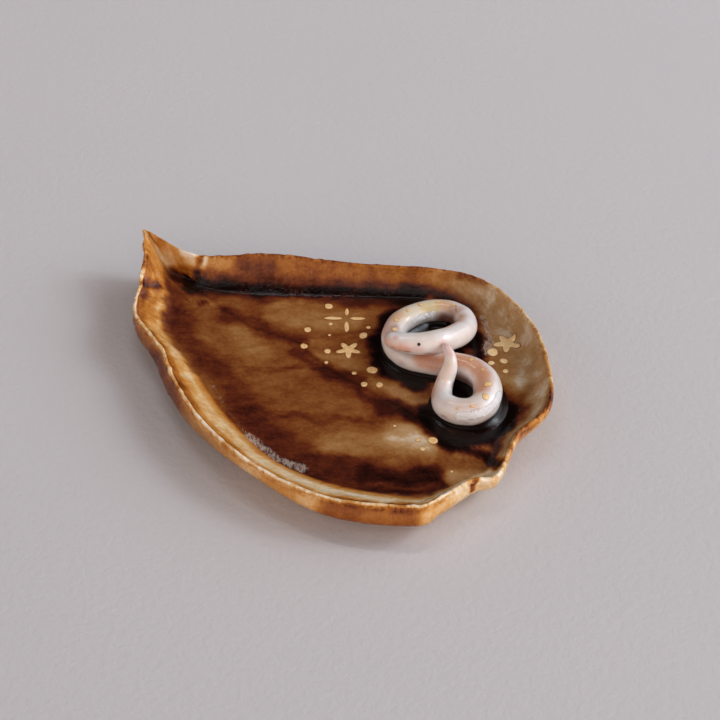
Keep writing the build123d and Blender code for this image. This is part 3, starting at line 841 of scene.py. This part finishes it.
# Finishes
class Field:
    """A number, colour or vector that varies over a surface; sums on it add Math nodes."""

    def __init__(self, finish, socket):
        self.finish = finish
        self.socket = socket

    def math(self, operation, first, second, clamp=False):
        settings = {"operation": operation, "use_clamp": clamp}
        return self.finish.node("ShaderNodeMath", settings, {0: first, 1: second})

    def __add__(self, other):
        return self.math("ADD", self, other)

    __radd__ = __add__

    def __sub__(self, other):
        return self.math("SUBTRACT", self, other)

    def __rsub__(self, other):
        return self.math("SUBTRACT", other, self)

    def __mul__(self, other):
        return self.math("MULTIPLY", self, other)

    __rmul__ = __mul__

    def clamped(self):
        return self.math("ADD", self, 0.0, clamp=True)

    def step(self, low, high):
        sockets = {"Value": self, "From Min": low, "From Max": high}
        return self.finish.node("ShaderNodeMapRange", {"interpolation_type": "SMOOTHSTEP"}, sockets)


class Finish:
    """The nodes of a material or of the room's light."""

    def __init__(self, owner):
        self.owner = owner
        self.owner.use_nodes = True
        self.tree = owner.node_tree
        self.tree.nodes.clear()

    def node(self, kind, settings, sockets, output=0):
        node = self.tree.nodes.new(kind)
        for name, value in settings.items():
            if name == "stops":
                while len(node.color_ramp.elements) < len(value):
                    node.color_ramp.elements.new(0.5)
                for element, (place, colour) in zip(node.color_ramp.elements, value):
                    element.position = place
                    element.color = (*colour, 1.0)
            else:
                setattr(node, name, value)
        for name, value in sockets.items():
            socket = node.inputs[name]
            if isinstance(value, Field):
                self.tree.links.new(value.socket, socket)
            elif socket.type == "RGBA" and len(value) == 3:
                socket.default_value = (*value, 1.0)
            else:
                socket.default_value = value
        return Field(self, node.outputs[output] if node.outputs else None)

    def place(self):
        """Object coordinates in mm."""
        return self.scaled(self.node("ShaderNodeTexCoord", {}, {}, "Object"), 1 / MM)

    def vector(self, operation, first, second, output="Vector"):
        return self.node("ShaderNodeVectorMath", {"operation": operation}, {0: first, 1: second}, output)

    def scaled(self, where, scale):
        sockets = {0: where, "Scale": scale}
        return self.node("ShaderNodeVectorMath", {"operation": "SCALE"}, sockets, "Vector")

    def mix(self, share, first, second):
        return self.node("ShaderNodeMix", {"data_type": "RGBA"}, {0: share, 6: first, 7: second}, 2)

    def noise(self, where, scale, detail=3.0, roughness=0.55, distortion=0.0, output="Fac"):
        sockets = {"Vector": where, "Scale": scale, "Detail": detail, "Roughness": roughness,
                   "Distortion": distortion}
        return self.node("ShaderNodeTexNoise", {}, sockets, output)

    def attribute(self, name, output="Fac"):
        return self.node("ShaderNodeAttribute", {"attribute_name": name}, {}, output)

    def wandering(self, where, scale, reach):
        """The same place pushed about by a slow noise, so that a painted edge isn't even."""
        push = self.vector("SUBTRACT", self.noise(where, scale, output="Color"), (0.5, 0.5, 0.5))
        return self.vector("ADD", where, self.scaled(push, reach))

    def ramp(self, share, stops):
        return self.node("ShaderNodeValToRGB", {"stops": stops}, {"Fac": share})

    def bump(self, height, distance, strength=1.0):
        sockets = {"Height": height, "Distance": distance, "Strength": strength}
        return self.node("ShaderNodeBump", {}, sockets)

    def surface(self, **sockets):
        named = {name.replace("_", " "): value for name, value in sockets.items()}
        skin = self.node("ShaderNodeBsdfPrincipled", {}, named)
        self.node("ShaderNodeOutputMaterial", {}, {"Surface": skin})
        return self.owner


def paint(*rgb):
    """A colour written as it is seen, 0 to 255, turned into light by the screen's own curve."""
    return tuple(
        (level / 255 / 12.92) if level <= 10 else ((level / 255 + 0.055) / 1.055) ** 2.4 for level in rgb)


GLAZE_BEND = 1.5

# Colour by depth of glaze, on the floor and on the wall
FLOOR_COLOURS = [
    (0.00, paint(216, 203, 182)),
    (0.15, paint(182, 146, 102)),
    (0.28, paint(162, 119, 74)),
    (0.40, paint(141, 91, 46)),
    (0.52, paint(117, 63, 28)),
    (0.62, paint(94, 41, 22)),
    (0.72, paint(64, 25, 16)),
    (0.86, paint(30, 10, 7)),
    (1.00, paint(11, 3, 2)),
]
EDGE_COLOURS = [
    (0.00, paint(234, 222, 204)),
    (0.14, paint(222, 194, 150)),
    (0.28, paint(204, 151, 84)),
    (0.42, paint(178, 113, 42)),
    (0.56, paint(141, 76, 22)),
    (0.70, paint(98, 43, 14)),
    (0.84, paint(50, 18, 8)),
    (1.00, paint(14, 4, 3)),
]


def leaf_glaze(name, shine):
    """Amber and brown glaze, streaked along the leaf, with pale crystals that carry a painted sheen and
    reflection, and uneven depth.
    """
    glaze = Finish(bpy.data.materials.new(name))
    place = glaze.place()
    wall = glaze.attribute("wall")
    way = glaze.attribute("way", "Vector")
    flow = glaze.vector("MULTIPLY", glaze.wandering(place, 0.06, 6.0), (1.0, 1.0, 0.2))
    turned = glaze.node("ShaderNodeMapping", {}, {"Vector": flow, "Rotation": (0, 0, math.radians(-43))})
    drawn = glaze.vector("MULTIPLY", turned, (0.42, 1.0, 1.0))
    streaks = glaze.noise(drawn, 0.36, detail=6.0, roughness=0.66)
    clouds = glaze.noise(place, 0.11, detail=5.0, roughness=0.6)
    fine = glaze.noise(place, 1.1, detail=6.0, roughness=0.75)
    down = glaze.vector("MULTIPLY", way, (1.0, 1.0, 0.55))
    down_wall = glaze.noise(down, 0.22, detail=4.0, roughness=0.6)
    patches = glaze.noise(place, 0.20, detail=4.0, roughness=0.6)
    curl = glaze.noise(place, 0.62, detail=3.0, distortion=0.6).step(0.46, 0.60)
    speckle = fine.step(0.54, 0.70)
    runs = glaze.noise(glaze.vector("MULTIPLY", way, (1.0, 1.0, 0.25)), 0.16, detail=4.0).step(0.50, 0.68)
    on_floor = wall.step(4.2, 5.4)
    lip = wall.step(-1.6, -0.6) * (1 - wall.step(0.3, 1.2))
    outside = 1 - wall.step(-1.8, -0.9)

    floor_drift = (clouds - 0.5) * 0.30 + (streaks - 0.5) * 0.34 + glaze.attribute("groove") * 0.06
    wall_drift = (down_wall - 0.5) * 0.32 + (patches - 0.5) * 0.46 * (1 - outside)
    lip_drift = lip * (speckle * 0.16 + (curl - 0.45) * 0.16)
    depth = glaze.attribute("depth") + floor_drift * on_floor + wall_drift * (1 - on_floor)
    depth = (depth + (fine - 0.5) * 0.28 + lip_drift + outside * runs * 0.06).clamped()
    brown = glaze.ramp(depth, FLOOR_COLOURS)
    amber = glaze.ramp(depth, EDGE_COLOURS)
    colour = glaze.mix(glaze.attribute("tan"), amber, brown)
    across = glaze.vector("MULTIPLY", turned, (1.0, 0.35, 1.0))
    needles = glaze.noise(across, 1.7, detail=5.0, roughness=0.8)
    # Pale crystals, partly real and partly a painted sheen and reflection of the window
    crystals_and_sheen = (glaze.attribute("bloom") * 0.46 + needles - 0.5).step(0.33, 0.56)
    colour = glaze.mix(crystals_and_sheen * 0.62, colour, paint(198, 182, 168))

    wall_height = (down_wall - 0.5) * 0.2 + curl * 0.07
    height = (streaks - 0.5) * 0.08 * on_floor + (fine - 0.5) * 0.05 + wall_height * (1 - on_floor)
    return glaze.surface(
        Base_Color=colour,
        Roughness=0.07 + (fine - 0.5) * 0.08 + crystals_and_sheen * 0.35,
        Normal=glaze.bump(height + crystals_and_sheen * 0.06, MM),
        IOR=GLAZE_BEND,
        Specular_IOR_Level=shine,
    )


def snake_glaze():
    """Cream-white glaze with blushes, yellow and pink, stains with painted shade in the loops and under the
    head, and ragged white patches of painted reflection on crackled glaze.
    """
    glaze = Finish(bpy.data.materials.new("snake_glaze"))
    place = glaze.place()
    clouds = glaze.noise(place, 0.16, detail=3.0)
    fine = glaze.noise(place, 1.6, detail=5.0, roughness=0.7)
    ragged = (glaze.attribute("ragged") + (fine - 0.5) * 1.2).step(0.42, 0.56)
    colour = glaze.mix(clouds.step(0.30, 0.72), paint(224, 222, 222), paint(214, 203, 194))
    colour = glaze.mix(glaze.attribute("yellow") * (0.55 + fine * 0.4), colour, paint(206, 184, 122))
    colour = glaze.mix(glaze.attribute("blush") * (0.55 + fine * 0.6), colour, paint(200, 124, 62))
    colour = glaze.mix(glaze.attribute("pink") * (0.5 + fine * 0.5), colour, paint(214, 146, 128))
    # Brown stains, and painted shade in the loops' holes and under the head
    colour = glaze.mix(glaze.attribute("stain"), colour, paint(104, 46, 22))
    # Painted reflection: ragged white patches where the window shines on the snake
    colour = glaze.mix(ragged * 0.9, colour, paint(246, 247, 250))
    height = (clouds - 0.5) * 0.2 + (fine - 0.5) * (0.03 + ragged * 0.5) + ragged * 0.1
    return glaze.surface(
        Base_Color=colour,
        Roughness=0.08 + (fine - 0.5) * 0.06 + ragged * 0.2,
        Normal=glaze.bump(height, MM),
        IOR=GLAZE_BEND,
    )


def gold_lustre(name, thin, thick):
    """Fired gold with a soft sheen, brushed on thin and thick, darker round each touch's edge, where the
    lustre thins and a contact shade is painted.
    """
    gold = Finish(bpy.data.materials.new(name))
    place = gold.place()
    brushed = gold.noise(place, 1.2, detail=4.0, roughness=0.6)
    grain = gold.noise(place, 5.0, detail=3.0)
    edge = (gold.attribute("edge") + (brushed - 0.5) * 0.5).step(0.35, 0.95)
    colour = gold.mix(brushed.step(0.3, 0.7), thin, thick)
    # Darker edge of each touch: the lustre's own outline, with painted contact shade
    colour = gold.mix(edge, colour, paint(132, 82, 36))
    return gold.surface(
        Base_Color=colour,
        Roughness=0.36 + (grain - 0.5) * 0.2,
        Metallic=0.14 + (brushed - 0.5) * 0.1,
        Normal=gold.bump(grain * 0.04 + brushed * 0.05, MM),
    )


def black_underglaze():
    black = Finish(bpy.data.materials.new("black_underglaze"))
    fine = black.noise(black.place(), 3.0, detail=3.0)
    colour = black.mix(fine, paint(14, 11, 11), paint(30, 24, 22))
    return black.surface(Base_Color=colour, Roughness=0.10 + fine * 0.08)


def table_paint():
    """Matt pale grey with a fine grain."""
    table = Finish(bpy.data.materials.new("table_paint"))
    place = table.place()
    broad = table.noise(place, 0.012, detail=3.0)
    grain = table.noise(place, 0.55, detail=4.0, roughness=0.6)
    colour = table.mix(broad * 0.6 + grain * 0.4, paint(192, 191, 193), paint(200, 198, 200))
    return table.surface(
        Base_Color=colour,
        Roughness=0.80 + (grain - 0.5) * 0.1,
        Normal=table.bump(grain, 0.35 * MM, 0.5),
    )


def wear(piece, material):
    piece.data.materials.clear()
    piece.data.materials.append(material)


wear(dish, leaf_glaze("leaf_glaze", 0.20))
wear(pool, leaf_glaze("pool_glaze", 0.24))
wear(snake, snake_glaze())
wear(bpy.data.objects["eyes"], black_underglaze())
gold = gold_lustre("gold_lustre", paint(228, 180, 114), paint(250, 215, 158))
for name in ("sparkle_strokes", "left_star", "left_dots", "front_dots", "flecks"):
    wear(bpy.data.objects[name], gold)
# A paler copy of the gold for the right star and dots, painted lighter to make up for the shade they lie in
# on the slope
gold_on_slope = gold_lustre("gold_on_slope", paint(250, 205, 140), paint(255, 232, 182))
for name in ("right_star", "right_dots"):
    wear(bpy.data.objects[name], gold_on_slope)

# Table, light and camera, in metres
TABLE_REACH = 4.0
bm = bmesh.new()
bmesh.ops.create_grid(bm, x_segments=1, y_segments=1, size=TABLE_REACH)
table_mesh = bpy.data.meshes.new("table")
bm.to_mesh(table_mesh)
bm.free()
table = bpy.data.objects.new("table", table_mesh)
bpy.context.scene.collection.objects.link(table)
wear(table, table_paint())


def aimed(thing, place, target):
    """Puts a lamp or camera in the scene at a place, turned to a target."""
    holder = bpy.data.objects.new(thing.name, thing)
    bpy.context.scene.collection.objects.link(holder)
    holder.location = place
    holder.rotation_euler = (target - place).to_track_quat("-Z", "Y").to_euler()
    return holder


def lamp(name, place, size, power, colour):
    """A rectangle of light, across and up, that shines on the dish."""
    light = bpy.data.lights.new(name, "AREA")
    light.shape = "RECTANGLE"
    light.size, light.size_y = size
    light.energy = power
    light.color = colour
    return aimed(light, place, Vector())


# A window behind the dish to the right, of two panes with a bar between, and the brighter
# gaps in what stands before it
WINDOW = Vector((1.32, 1.84, 1.46))
ACROSS = WINDOW.cross(UP).normalized()
UPWARD = ACROSS.cross(WINDOW).normalized()
GAPS = WINDOW * 0.9 + UPWARD * 0.1
for name, rise in (("window_upper", 0.50), ("window_lower", -0.50)):
    lamp(name, WINDOW + UPWARD * rise, size=(3.6, 0.80), power=22.0, colour=(0.86, 0.92, 1.0))
for name, aside in (("gap_left", 0.34), ("gap_right", -0.05)):
    lamp(name, GAPS + ACROSS * aside, size=(0.28, 0.62), power=8.0, colour=(0.88, 0.93, 1.0))

# A narrow skylight that runs the same way as the snake's head
HEAD_WAY = Vector((0.87, 0.50, 0.0))
SKY = Vector((-0.30, 0.17, 0.94))
facing = -SKY.normalized()
level = (HEAD_WAY - facing * HEAD_WAY.dot(facing)).normalized()
skylight = lamp("skylight", SKY * 1.1, size=(0.70, 0.06), power=1.6, colour=(0.95, 0.97, 1.0))
skylight.rotation_euler = Matrix((level, level.cross(facing), -facing)).transposed().to_euler()

DARK_WAY = (-0.40, 0.40, 0.82)
ROOM_STRENGTH = 1.40
DARK_STRENGTH = 0.04


def room_light():
    """Warm light from all round, weaker from behind the dish, where the room is dark."""
    room = Finish(bpy.data.worlds.new("room"))
    way = room.node("ShaderNodeTexCoord", {}, {}, "Generated")
    dark = room.vector("DOT_PRODUCT", way, DARK_WAY, "Value")
    strength = room.node("ShaderNodeMapRange", {"interpolation_type": "SMOOTHSTEP"}, {
        "Value": dark, "From Min": 0.0, "From Max": 0.72, "To Min": ROOM_STRENGTH, "To Max": DARK_STRENGTH})
    light = room.node("ShaderNodeBackground", {}, {"Color": (1.0, 0.84, 0.77), "Strength": strength})
    room.node("ShaderNodeOutputWorld", {}, {"Surface": light})
    return room.owner


bpy.context.scene.world = room_light()

# The camera, and the point of the dish that it looks at
HALF_VIEW = math.radians(10.6)
CAMERA = Vector((0.259917, -0.264188, 0.324749))
LOOKED_AT = Vector((0.004380, 0.008326, 0.0))
camera_data = bpy.data.cameras.new("camera")
camera_data.sensor_width = 36.0
camera_data.lens = camera_data.sensor_width / 2 / math.tan(HALF_VIEW)
camera_data.clip_start = 0.01
bpy.context.scene.camera = aimed(camera_data, CAMERA, LOOKED_AT)
bpy.context.scene.view_settings.view_transform = "Standard"
